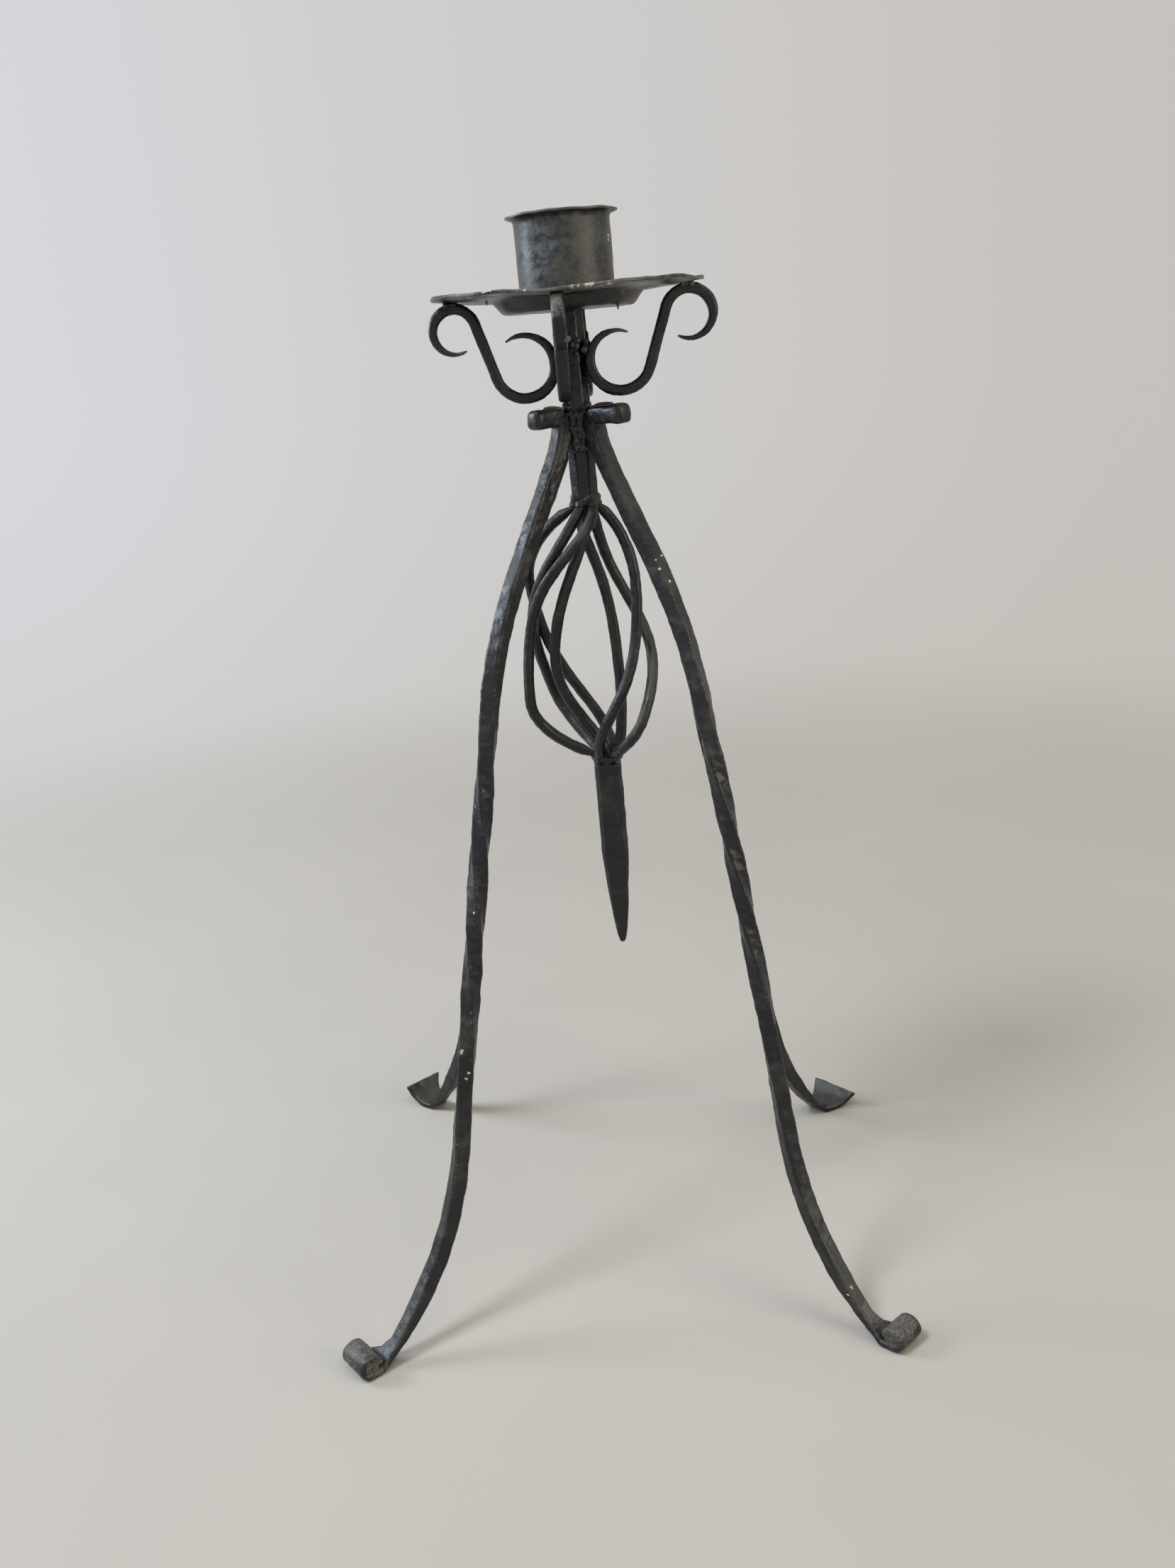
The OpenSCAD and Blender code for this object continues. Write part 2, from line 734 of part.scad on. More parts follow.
candle_cup();
drip_pan();
stem();
scroll_bracket_right();
scroll_bracket_back();
scroll_bracket_left();
scroll_bracket_front();
leg_front_left();
leg_front_right();
leg_rear_left();
leg_rear_right();
basket_top_weld();
basket_rod_1();
basket_rod_2();
basket_rod_3();
basket_rod_4();
basket_rod_5();
basket_rod_6();
basket_rod_7();
basket_bottom_weld();
spike();
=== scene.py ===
"""Looks of the forged-iron candle stand: hammered skins over its solids, weld beads, worn paint
and soft light."""
import math

import bpy
import numpy as np
from mathutils import Matrix, Vector


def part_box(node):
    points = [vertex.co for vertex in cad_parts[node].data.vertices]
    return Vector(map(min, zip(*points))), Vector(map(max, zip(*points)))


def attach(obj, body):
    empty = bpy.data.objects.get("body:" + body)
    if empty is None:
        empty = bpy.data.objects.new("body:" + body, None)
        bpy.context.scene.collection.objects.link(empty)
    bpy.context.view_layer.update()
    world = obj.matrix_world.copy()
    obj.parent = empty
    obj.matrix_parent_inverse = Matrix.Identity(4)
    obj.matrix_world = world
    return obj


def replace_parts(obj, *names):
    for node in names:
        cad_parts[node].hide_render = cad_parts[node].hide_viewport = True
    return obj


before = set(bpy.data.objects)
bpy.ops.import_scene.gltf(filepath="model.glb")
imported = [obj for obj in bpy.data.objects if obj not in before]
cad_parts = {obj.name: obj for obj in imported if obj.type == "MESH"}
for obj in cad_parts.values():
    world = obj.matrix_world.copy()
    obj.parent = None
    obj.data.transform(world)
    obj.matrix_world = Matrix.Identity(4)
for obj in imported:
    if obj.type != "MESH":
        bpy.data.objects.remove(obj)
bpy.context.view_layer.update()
scene = bpy.context.scene
MM = 0.001
MERGE_WITHIN = 1e-5
EASING = 0.5                            # how far one pass of smoothing moves a point
ARRIS_PASSES = 2

# ---- Camera: the place and angle from which the photograph was taken ----

PHOTO_WIDTH = 1657
PHOTO_HEIGHT = 2212
FOCAL_PIXELS = 2000
SENSOR = 36
SEARCH_PIXELS = 16
PITCH = math.radians(17.13)
ROLL = math.radians(5.17)
EYE_FROM_STEM = Vector((-11.29, -697.4, 475.0)) * MM

stem_low, stem_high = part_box("stem")
stem_axis = Vector(((stem_low.x + stem_high.x) / 2, (stem_low.y + stem_high.y) / 2, 0))
eye = stem_axis + EYE_FROM_STEM
forward = Vector((0, math.cos(PITCH), -math.sin(PITCH)))
level_right = Vector((1, 0, 0))
level_up = level_right.cross(forward)
image_right = math.cos(ROLL) * level_right - math.sin(ROLL) * level_up
image_up = math.sin(ROLL) * level_right + math.cos(ROLL) * level_up


def make_camera():
    lens = bpy.data.cameras.new("photo_camera")
    lens.sensor_width = SENSOR
    lens.lens = FOCAL_PIXELS * SENSOR / PHOTO_HEIGHT
    lens.clip_start = 0.02
    lens.clip_end = 200
    camera = bpy.data.objects.new("photo_camera", lens)
    scene.collection.objects.link(camera)
    turn = Matrix((image_right, image_up, -forward)).transposed().to_4x4()
    camera.matrix_world = Matrix.Translation(eye) @ turn
    scene.camera = camera


def seen_at(column, row):
    """The place on the stand that shows at a pixel of the photograph, or nearest beside it."""
    graph = bpy.context.evaluated_depsgraph_get()
    for shift in range(SEARCH_PIXELS):
        for side in (0, 1, -1):
            across = (column + side * shift - PHOTO_WIDTH / 2) / FOCAL_PIXELS
            down = (row - PHOTO_HEIGHT / 2) / FOCAL_PIXELS
            ray = (forward + across * image_right - down * image_up).normalized()
            found = scene.ray_cast(graph, eye, ray)
            if found[0]:
                return found[1]
    raise ValueError("nothing of the stand shows near %d, %d" % (column, row))


# ---- Work on meshes ----

def choose(piece):
    bpy.ops.object.select_all(action="DESELECT")
    piece.select_set(True)
    bpy.context.view_layer.objects.active = piece


def edit(piece):
    choose(piece)
    bpy.ops.object.mode_set(mode="EDIT")
    bpy.ops.mesh.select_all(action="SELECT")


def leave_edit():
    bpy.ops.object.mode_set(mode="OBJECT")


def apply_modifiers(piece):
    choose(piece)
    for modifier in list(piece.modifiers):
        bpy.ops.object.modifier_apply(modifier=modifier.name)


def settle(piece):
    """Moves an object's place into its mesh."""
    choose(piece)
    bpy.ops.object.transform_apply(location=True, rotation=True, scale=True)


def reskin(piece, grain, passes):
    """One even closed skin over a piece, with its edges eased."""
    skin = piece.modifiers.new("skin", "REMESH")
    skin.mode = "VOXEL"
    skin.voxel_size = grain
    eased = piece.modifiers.new("eased_edges", "SMOOTH")
    eased.factor = EASING
    eased.iterations = passes
    apply_modifiers(piece)


def dent(piece, size, depth, name):
    """Uneven metal: dents of a size and depth, as a hammer or a thick coat of paint leaves them."""
    pattern = bpy.data.textures.get(name)
    if pattern is None:
        pattern = bpy.data.textures.new(name, "CLOUDS")
        pattern.noise_scale = size
    push = piece.modifiers.new(name, "DISPLACE")
    push.texture = pattern
    push.texture_coords = "LOCAL"
    push.strength = depth
    push.mid_level = 0.5


def keep_above_floor(piece):
    for point in piece.data.vertices:
        point.co.z = max(point.co.z, 0)


def mark_arrises(piece):
    """Writes how sharply the skin bends outwards at each point, where paint rubs thin first."""
    mesh = piece.data
    count = len(mesh.vertices)
    place = np.zeros(count * 3)
    mesh.vertices.foreach_get("co", place)
    place = place.reshape(-1, 3)
    facing = np.zeros(count * 3, np.float32)
    mesh.vertex_normals.foreach_get("vector", facing)
    facing = facing.reshape(-1, 3).astype(float)
    ends = np.zeros(len(mesh.edges) * 2, np.int32)
    mesh.edges.foreach_get("vertices", ends)
    first, second = ends.reshape(-1, 2).T
    span = place[second] - place[first]
    bend = ((facing[second] - facing[first]) * span).sum(1) / np.maximum((span ** 2).sum(1), 1e-12)
    shares = np.maximum(np.bincount(first, minlength=count) + np.bincount(second, minlength=count), 1)
    convex = (np.bincount(first, bend, count) + np.bincount(second, bend, count)) / shares
    for _ in range(ARRIS_PASSES):
        near = np.bincount(first, convex[second], count) + np.bincount(second, convex[first], count)
        convex = (convex + near / shares) / 2
    mark = mesh.attributes.new("arris", "FLOAT", "POINT")
    mark.data.foreach_set("value", (convex * MM).astype(np.float32))


def finish_piece(piece, material):
    mark_arrises(piece)
    choose(piece)
    bpy.ops.object.shade_smooth()
    piece.data.materials.clear()
    piece.data.materials.append(material)
    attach(piece, "root")


def forged_copy(node, grain, passes):
    """A copy of a solid, its loose triangles merged, under one even skin."""
    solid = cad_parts[node]
    piece = bpy.data.objects.new(node + "_forged", solid.data.copy())
    scene.collection.objects.link(piece)
    edit(piece)
    bpy.ops.mesh.remove_doubles(threshold=MERGE_WITHIN)
    bpy.ops.mesh.normals_make_consistent(inside=False)
    leave_edit()
    if node in ROLLS:
        fill_roll(piece, LEGS[node], *ROLLS[node])
    reskin(piece, grain, passes)
    return piece


# ---- Materials ----

SPOT_CORE = 0.6                         # the share of a spot's radius that has its full colour
PAINT_SHINE = 0.42
PAINT_RELIEF = 0.26 * MM
SHEET_RELIEF = 0.2 * MM


class Value:
    """A number or colour on its way through a material's nodes."""

    def __init__(self, finish, socket):
        self.finish = finish
        self.socket = socket

    def __add__(self, other):
        return self.finish.maths("ADD", self, other)

    def __radd__(self, other):
        return self.finish.maths("ADD", other, self)

    def __sub__(self, other):
        return self.finish.maths("SUBTRACT", self, other)

    def __rsub__(self, other):
        return self.finish.maths("SUBTRACT", other, self)

    def __mul__(self, other):
        return self.finish.maths("MULTIPLY", self, other)

    def __rmul__(self, other):
        return self.finish.maths("MULTIPLY", other, self)


class Finish:
    """A material and the nodes that make it."""

    def __init__(self, name):
        self.material = bpy.data.materials.new(name)
        self.material.use_nodes = True
        self.tree = self.material.node_tree
        self.tree.nodes.clear()
        self.place = self.node("ShaderNodeTexCoord", out="Object")

    def node(self, kind, settings=None, inputs=None, out=0):
        made = self.tree.nodes.new(kind)
        for key, value in (settings or {}).items():
            setattr(made, key, value)
        for key, value in (inputs or {}).items():
            if isinstance(value, Value):
                self.tree.links.new(value.socket, made.inputs[key])
            else:
                made.inputs[key].default_value = value
        return Value(self, made.outputs[out]) if made.outputs else made

    def maths(self, operation, *values):
        return self.node("ShaderNodeMath", {"operation": operation}, dict(enumerate(values)))

    def step(self, value, low, high):
        """0 below low, 1 above high and smooth between."""
        return self.node("ShaderNodeMapRange", {"interpolation_type": "SMOOTHSTEP"},
                         {"Value": value, "From Min": low, "From Max": high})

    def noise(self, size, detail=2.0, roughness=0.5, place=None):
        """Clouds whose patches are about a size across, in metres."""
        return self.node("ShaderNodeTexNoise", None,
                         {"Vector": place or self.place, "Scale": 1 / size, "Detail": detail,
                          "Roughness": roughness})

    def blend(self, mask, below, above):
        """One colour where mask is 0 and another where it is 1."""
        return self.node("ShaderNodeMix", {"data_type": "RGBA"}, {0: mask, 6: below, 7: above}, out=2)

    def largest(self, *values):
        result = values[0]
        for value in values[1:]:
            result = self.maths("MAXIMUM", result, value)
        return result

    def near(self, spots, ragged, ragged_size):
        """1 inside spots (place, radius), with ragged edges."""
        wander = ragged * (self.noise(ragged_size, 3) - 0.5)
        shares = []
        for place, radius in spots:
            away = self.node("ShaderNodeVectorMath", {"operation": "DISTANCE"},
                             {0: self.place, 1: place}, out="Value")
            shares.append(self.step(away + radius * wander, radius, radius * SPOT_CORE))
        return self.largest(*shares)

    def surface(self, colour, roughness, height, relief):
        normal = self.node("ShaderNodeBump", None, {"Strength": 1.0, "Distance": relief, "Height": height})
        shader = self.node("ShaderNodeBsdfPrincipled", None,
                           {"Base Color": colour, "Roughness": roughness, "Normal": normal,
                            "Specular IOR Level": PAINT_SHINE})
        self.node("ShaderNodeOutputMaterial", None, {"Surface": shader})
        return self.material


BLUE_BLACK = (0.0060, 0.0064, 0.0080, 1)
OLIVE_DUST = (0.050, 0.048, 0.039, 1)
BARE_GREY = (0.17, 0.17, 0.165, 1)
CREAM = (0.50, 0.47, 0.38, 1)
BROWN_GREY = (0.15, 0.135, 0.115, 1)
SOOT = (0.0065, 0.007, 0.009, 1)
CUP_DUST = (0.082, 0.082, 0.071, 1)
# blue of smears on the cup, also used as a painted highlight down the cup's left side
BLUE_SMEAR_AND_HIGHLIGHT = (0.16, 0.18, 0.22, 1)


def painted_iron(name, chips, rubs, flecks=()):
    """Satin black paint over hammered bars: dusty upward faces, thin paint on the arrises, a few chips."""
    paint = Finish(name)
    facing = paint.node("ShaderNodeTexCoord", out="Normal")
    upward = paint.node("ShaderNodeSeparateXYZ", None, {"Vector": facing}, out="Z")
    arris = paint.node("ShaderNodeAttribute", {"attribute_name": "arris"}, out="Fac")
    patches = paint.noise(20 * MM, 4, 0.6)
    mottle = paint.noise(4.5 * MM, 5, 0.6)
    grain = paint.noise(1.1 * MM, 4, 0.65)
    dust = paint.step(patches + 0.30 * upward + 0.6 * (mottle - 0.5), 0.42, 0.95)
    worn = paint.step(arris + 0.35 * (mottle - 0.5), 0.30, 0.75) * paint.step(patches, 0.38, 0.62)
    chipped = paint.near(chips, 3.2, 1.4 * MM)
    if flecks:
        flecked = paint.near(flecks, 1.0, 6 * MM) * paint.step(mottle, 0.5, 0.57)
        chipped = paint.largest(chipped, flecked)
    rubbed = paint.near(rubs, 1.2, 3 * MM) * paint.step(grain, 0.35, 0.62)
    colour = paint.blend(dust * 0.8, BLUE_BLACK, OLIVE_DUST)
    colour = paint.blend(worn * 0.6, colour, BARE_GREY)
    colour = paint.blend(rubbed * 0.8, colour, BROWN_GREY)
    colour = paint.blend(chipped, colour, CREAM)
    bare = paint.largest(chipped, rubbed)
    rough = 0.22 + 0.20 * patches + 0.22 * dust + 0.14 * (mottle - 0.5) + 0.3 * bare
    height = mottle + 0.35 * grain - 0.6 * chipped
    return paint.surface(colour, rough, height, PAINT_RELIEF)


def dusty_sheet(name, chips, smears_and_highlight):
    """The cup's sheet: blue-black paint under olive-grey dust and candle soot, and blue smears that are
    partly a painted highlight down the cup's left side.
    """
    paint = Finish(name)
    arris = paint.node("ShaderNodeAttribute", {"attribute_name": "arris"}, out="Fac")
    broad = paint.noise(13 * MM, 3, 0.6)
    mottle = paint.noise(3.8 * MM, 6, 0.7)
    grain = paint.noise(0.9 * MM, 4, 0.7)
    dust = paint.step(broad * 0.8 + mottle * 0.8, 0.55, 1.05)
    specks = paint.step(grain + 0.5 * (mottle - 0.5), 0.64, 0.76)
    worn = paint.step(arris + 0.3 * (mottle - 0.5), 0.2, 0.5)
    chipped = paint.near(chips, 2.0, 1.2 * MM)
    # blue marks: those under the lip are smears, those down the cup's left side are a painted highlight
    smeared_and_highlit = paint.near(smears_and_highlight, 1.8, 4 * MM) * paint.step(mottle, 0.42, 0.66)
    colour = paint.blend(dust, SOOT, CUP_DUST)
    colour = paint.blend(specks * 0.45, colour, BARE_GREY)
    colour = paint.blend(smeared_and_highlit * 0.5, colour, BLUE_SMEAR_AND_HIGHLIGHT)
    colour = paint.blend(worn * 0.35, colour, BARE_GREY)
    colour = paint.blend(chipped, colour, CREAM)
    rough = 0.26 + 0.24 * dust + 0.16 * (mottle - 0.5) + 0.2 * specks
    return paint.surface(colour, rough, mottle + 0.4 * grain - 0.5 * chipped, SHEET_RELIEF)


# ---- Bars: hammered copies of the solids ----

# The direction in which each leg leaves the stem
LEGS = {"leg_front_left": -142.3, "leg_front_right": -48.1, "leg_rear_left": 131.8, "leg_rear_right": 40.8}

# The direction in which each bracket leaves the stem, and how far beside the stem's middle it lies
BRACKETS = {
    "scroll_bracket_right": (0, -5.6), "scroll_bracket_back": (90, -5.6),
    "scroll_bracket_left": (180, 0), "scroll_bracket_front": (-90, -5.6),
}
RODS = ["basket_rod_%d" % n for n in range(1, 8)]

STEM_HALF = 6.3 * MM
BAR_HALF = 4 * MM
TAB_HEIGHT = 11 * MM
TAB_ROUNDING = 9 * MM
TAB_SWELL = 2.2 * MM
TAB_PASSES = 110

# Each front foot's roll: how far out and high its middle is, and where it ends sideways
ROLL_HEIGHT = 6.4 * MM
ROLL_CORE_R = 3.6 * MM
ROLLS = {"leg_front_left": (182.2, -15.4, 3.5), "leg_front_right": (168.2, -3.5, 12.4)}

bars = {}


def about_stem(turn, out, side, height):
    """A place given by a direction around the stem, distances out and sideways, and a height."""
    turn = math.radians(turn)
    across = Vector((math.cos(turn), math.sin(turn), 0))
    beside = Vector((-math.sin(turn), math.cos(turn), 0))
    return stem_axis + out * across + side * beside + Vector((0, 0, height))


def join(parts):
    """Joins pieces into the first of them."""
    choose(parts[0])
    for part in parts:
        part.select_set(True)
    bpy.ops.object.join()
    return parts[0]


def fill_roll(piece, turn, out, side_from, side_to):
    """Beats the hollow of a foot's roll shut with a core."""
    middle = about_stem(turn, out * MM, (side_from + side_to) / 2 * MM, ROLL_HEIGHT)
    bpy.ops.object.select_all(action="DESELECT")
    bpy.ops.mesh.primitive_cylinder_add(
        vertices=24, radius=ROLL_CORE_R, depth=(side_to - side_from) * MM, location=middle,
        rotation=(math.pi / 2, 0, math.radians(turn)))
    core = bpy.context.active_object
    settle(core)
    join([piece, core])


def ease_tab(piece):
    """Rounds the blunt end of a leg's tab, and swells it first by what the rounding takes off."""
    top = max(point.co.z for point in piece.data.vertices)
    tops = [point for point in piece.data.vertices if point.co.z > top - TAB_HEIGHT]
    reach = max((point.co.xy - stem_axis.xy).length for point in tops)
    ends = []
    for point in tops:
        out = (point.co.xy - stem_axis.xy).length
        share = (out - reach + TAB_ROUNDING) / TAB_ROUNDING
        if share > 0:
            ends.append(point.index)
            point.co.xy += (point.co.xy - stem_axis.xy) / out * TAB_SWELL * share
    group = piece.vertex_groups.new(name="tab_end")
    group.add(ends, 1.0, "REPLACE")
    eased = piece.modifiers.new("rounded_tab", "SMOOTH")
    eased.vertex_group = group.name
    eased.factor = EASING
    eased.iterations = TAB_PASSES
    apply_modifiers(piece)
    piece.vertex_groups.clear()


def forge(node, grain, passes, hammer_depth, hammer_size):
    """A hammered copy of a solid's bar, which takes the solid's place."""
    piece = forged_copy(node, grain, passes)
    if node in LEGS:
        ease_tab(piece)
    dent(piece, hammer_size, hammer_depth, "hammer_%d" % (hammer_size / MM * 10))
    dent(piece, 1.6 * MM, 0.16 * MM, "scale_of_paint")
    apply_modifiers(piece)
    keep_above_floor(piece)
    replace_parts(piece, node)
    bars[node] = piece


for node in LEGS:
    forge(node, grain=0.5 * MM, passes=1, hammer_depth=1.1 * MM, hammer_size=10 * MM)
for node in BRACKETS:
    forge(node, grain=0.42 * MM, passes=2, hammer_depth=0.5 * MM, hammer_size=7 * MM)
for node in RODS:
    forge(node, grain=0.5 * MM, passes=2, hammer_depth=0.5 * MM, hammer_size=7 * MM)
forge("stem", grain=0.5 * MM, passes=2, hammer_depth=0.8 * MM, hammer_size=9 * MM)
forge("spike", grain=0.5 * MM, passes=2, hammer_depth=0.9 * MM, hammer_size=9 * MM)


# ---- Sheet pieces: turned up ring by ring from a circle ----

def turned(name, rings, segments):
    """A round sheet: a circle carried through rings (radius, height) about the stem's axis."""
    radius, height = rings[0]
    centre = stem_axis + Vector((0, 0, height))
    bpy.ops.object.select_all(action="DESELECT")
    bpy.ops.mesh.primitive_circle_add(vertices=segments, radius=radius, location=centre)
    piece = bpy.context.active_object
    piece.name = name
    settle(piece)
    edit(piece)
    for next_radius, next_height in rings[1:]:
        lift = (0, 0, next_height - height)
        bpy.ops.mesh.extrude_edges_move(TRANSFORM_OT_translate={"value": lift})
        share = next_radius / radius
        middle = stem_axis + Vector((0, 0, next_height))
        bpy.ops.transform.resize(value=(share, share, 1), center_override=middle)
        radius, height = next_radius, next_height
    bpy.ops.mesh.select_all(action="SELECT")
    bpy.ops.mesh.normals_make_consistent(inside=False)
    leave_edit()
    return piece


def between(start, end, count):
    """Points from start to end, without start."""
    return [start + (end - start) * k / count for k in range(1, count + 1)]


PAN_SHEET = 1.6 * MM
PAN_R = 63.5 * MM
DISH_FLOOR_R = 29 * MM
DISH_R = 36.5 * MM
DISH_DEPTH = 6.1 * MM
DISH_STEPS = 10
BRIM_RISE = 1.8 * MM
HOLE_R = 4.1 * MM
CUP_WALL = 1.2 * MM
CUP_R = 21 * MM
CUP_CORNER = 0.8 * MM
CUP_FLARE = 4 * MM
FLARE_STEPS = 8
LIP_FLAT = 1 * MM
LIP_ROOM = 0.45 * MM                    # room for the lip's bumps below the solid's height
HEAD_R = 6.5 * MM
RIM_ROUNDING = 0.3                      # of the sheet's thickness
RIM_ANGLE = math.radians(50)
RIM_WAVE = 1 * MM

pan_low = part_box("drip_pan")[0]
cup_low, cup_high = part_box("candle_cup")


def pan_rings():
    """The pan's middle surface, from its hole out to its brim."""
    floor = pan_low.z + PAN_SHEET / 2
    rings = [(HOLE_R, floor)]
    rings += [(r, floor) for r in between(HOLE_R, DISH_FLOOR_R, 18)]
    for k in range(1, DISH_STEPS + 1):
        rise = (1 - math.cos(math.pi * k / DISH_STEPS)) / 2
        rings.append((DISH_FLOOR_R + (DISH_R - DISH_FLOOR_R) * k / DISH_STEPS, floor + DISH_DEPTH * rise))
    for r in between(DISH_R, PAN_R, 26):
        rings.append((r, floor + DISH_DEPTH + BRIM_RISE * (r - DISH_R) / (PAN_R - DISH_R)))
    return rings


def cup_rings():
    """The cup's middle surface, from the hole in its floor up to its lip."""
    floor = cup_low.z + CUP_WALL / 2
    wall_r = CUP_R + CUP_WALL / 2
    lip = cup_high.z - CUP_WALL / 2 - LIP_ROOM
    bend = CUP_FLARE - CUP_WALL / 2
    rings = [(HEAD_R, floor)]
    rings += [(r, floor) for r in between(HEAD_R, wall_r - CUP_CORNER, 12)]
    rings += [(wall_r - 0.25 * MM, floor + 0.2 * MM), (wall_r, floor + CUP_CORNER)]
    rings += [(wall_r, z) for z in between(floor + CUP_CORNER, lip - bend, 34)]
    for k in range(1, FLARE_STEPS + 1):
        turn = math.pi / 2 * k / FLARE_STEPS
        rings.append((wall_r + bend * (1 - math.cos(turn)), lip - bend + bend * math.sin(turn)))
    rings += [(r, lip) for r in between(wall_r + bend, wall_r + bend + LIP_FLAT, 2)]
    return rings


def sheet_wall(piece, thickness):
    """Gives a sheet its thickness and a worn, rounded rim."""
    wall = piece.modifiers.new("wall", "SOLIDIFY")
    wall.thickness = thickness
    wall.offset = 0
    wall.use_even_offset = True
    rim = piece.modifiers.new("rim", "BEVEL")
    rim.width = thickness * RIM_ROUNDING
    rim.segments = 2
    rim.limit_method = "ANGLE"
    rim.angle_limit = RIM_ANGLE


def wave_rim(piece, inner, lobes):
    """Lets the rim rise and fall a little round the edge; a lobe is (size, times around, turn)."""
    for point in piece.data.vertices:
        away = point.co - stem_axis
        share = max(0, (away.xy.length - inner) / inner)
        turn = math.atan2(away.y, away.x)
        lift = sum(size * math.cos(times * turn - math.radians(at)) for size, times, at in lobes)
        point.co.z += RIM_WAVE * share * lift


def beat(piece, node, inner, lobes, sheet, beating, fine_beating):
    """Beats a turned sheet by hand: waves and dents, then its wall and fine dents."""
    wave_rim(piece, inner, lobes)
    dent(piece, 14 * MM, beating, "beaten_sheet")
    apply_modifiers(piece)
    sheet_wall(piece, sheet)
    dent(piece, 3.2 * MM, fine_beating, "fine_beating")
    apply_modifiers(piece)
    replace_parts(piece, node)


PAN_LOBES = [(1.0, 2, 20), (0.6, 3, 200), (0.5, 5, 70), (0.35, 9, 10), (0.3, 14, 150)]
CUP_LOBES = [(0.5, 3, 40), (0.6, 5, 120), (0.5, 8, 15), (0.4, 13, 80)]

pan = turned("hammered_drip_pan", pan_rings(), segments=192)
beat(pan, "drip_pan", DISH_R, PAN_LOBES, PAN_SHEET, beating=0.9 * MM, fine_beating=0.4 * MM)
cup = turned("sheet_candle_cup", cup_rings(), segments=144)
beat(cup, "candle_cup", CUP_R, CUP_LOBES, CUP_WALL, beating=0.4 * MM, fine_beating=0.22 * MM)


# ---- Weld beads ----

BEAD_GRAIN = 0.4 * MM
BEAD_PASSES = 5


def weld(name, lumps):
    """A bead of lumps (place, radius) run together."""
    parts = []
    for place, radius in lumps:
        bpy.ops.object.select_all(action="DESELECT")
        bpy.ops.mesh.primitive_ico_sphere_add(subdivisions=2, radius=radius, location=place)
        parts.append(bpy.context.active_object)
    bead = join(parts)
    bead.name = name
    settle(bead)
    reskin(bead, BEAD_GRAIN, BEAD_PASSES)
    dent(bead, 3 * MM, 0.7 * MM, "weld_lumps")
    dent(bead, 1.6 * MM, 0.12 * MM, "scale_of_bead")
    apply_modifiers(bead)
    bars[name] = bead
    return bead


# Each leg: lumps down both its edges where it lies against the stem, and one on its top
LEG_LUMPS = 6
LUMP_STEP = 2.9 * MM
for node, turn in LEGS.items():
    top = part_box(node)[1].z - 5 * MM
    lumps = []
    for k in range(LEG_LUMPS):
        for side in (-1, 1):
            wander = turn + 4 * math.sin(5 * k)
            place = about_stem(wander, STEM_HALF - 0.5 * MM, side * BAR_HALF, top - LUMP_STEP * k)
            lumps.append((place, (2.9 + 0.6 * math.sin(2.4 * k + side + turn) - 0.12 * k) * MM))
    lumps.append((about_stem(turn, STEM_HALF - 0.4 * MM, 0, top + 4.2 * MM), 2.8 * MM))
    weld(node + "_weld", lumps)

# Each bracket: lumps above and below where it touches the stem, and small ones under the pan
SCROLL_DROP = 23.8 * MM
SCROLL_REACH = 55 * MM
SCROLL_LUMPS = (-8.5, -7, -5.5, 5.5, 7, 8.5)
SCROLL_EDGE = 2.9
for node, (turn, offset) in BRACKETS.items():
    lumps = []
    for k in SCROLL_LUMPS:
        height = pan_low.z - SCROLL_DROP + k * MM
        place = about_stem(turn, STEM_HALF + 0.4 * MM, (offset + math.sin(k)) * MM, height)
        lumps.append((place, (1.9 + 0.3 * math.sin(3 * k + turn)) * MM))
    weld(node + "_stem_weld", lumps)
    lumps = []
    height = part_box(node)[1].z - 0.6 * MM
    for k in (-1, 0, 1):
        for side in (-1, 1):
            place = about_stem(turn, SCROLL_REACH + 2 * MM * k, (offset + side * SCROLL_EDGE) * MM, height)
            lumps.append((place, (1.3 + 0.3 * math.sin(2.1 * k + side + turn)) * MM))
    weld(node + "_pan_weld", lumps)

ROD_TURNS = (4, 64, 124, 184, 244, 304)
BASKET_TWIST = 130
TOP_CORNERS = (10, 75, 150, 215, 290)
FOOT_CORNERS = (45, 135, 225, 315)


def basket_weld(node, turn, rods_height, bar_height, corners):
    """The lumps that hold the rods' ends to the bar above or below them."""
    middle = (rods_height + bar_height) / 2
    lumps = [(about_stem(rod + turn, 5.3 * MM, 0, rods_height), 3.0 * MM) for rod in ROD_TURNS]
    lumps += [(about_stem(rod + turn + 30, 4.4 * MM, 0, middle), 3.3 * MM) for rod in ROD_TURNS]
    lumps += [(about_stem(corner, 5.9 * MM, 0, bar_height), 2.1 * MM) for corner in corners]
    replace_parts(weld(node + "_bead", lumps), node)


top_low, top_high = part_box("basket_top_weld")
foot_low, foot_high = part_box("basket_bottom_weld")
basket_weld("basket_top_weld", 0, top_low.z + 0.6 * MM, top_high.z, TOP_CORNERS)
basket_weld("basket_bottom_weld", -BASKET_TWIST, foot_high.z - 0.6 * MM, foot_low.z, FOOT_CORNERS)

make_camera()

# Spatter of weld on the front of the stem: photograph column and row, and radius in millimetres
SPATTER = [(800, 478, 1.7), (806, 487, 2.0), (815, 480, 1.5), (824, 493, 1.8), (812, 499, 1.6),
           (803, 512, 1.3)]
weld("stem_front_weld", [(seen_at(column, row), size * MM) for column, row, size in SPATTER])

# Runs of paint that hung from the underside of the pan: photograph column and row, and size
DRIPS = {"right_drip": (871, 428, 0.9), "middle_drip": (808, 440, 0.8), "left_drip": (686, 426, 0.7)}
for name, (column, row, size) in DRIPS.items():
    root = seen_at(column, row)
    lumps = [(root + Vector((0, 0, -0.9 * MM * size * k)), (1.0 - 0.16 * k) * size * MM) for k in range(4)]
    weld(name, lumps)


# ---- Paint ----

PIXEL = 0.42 * MM                       # what one pixel of the photograph covers at the stand


def spots(marks):
    """Places and radii from marks (column, row, radius) in pixels of the photograph."""
    return [(seen_at(column, row), size * PIXEL) for column, row, size in marks]


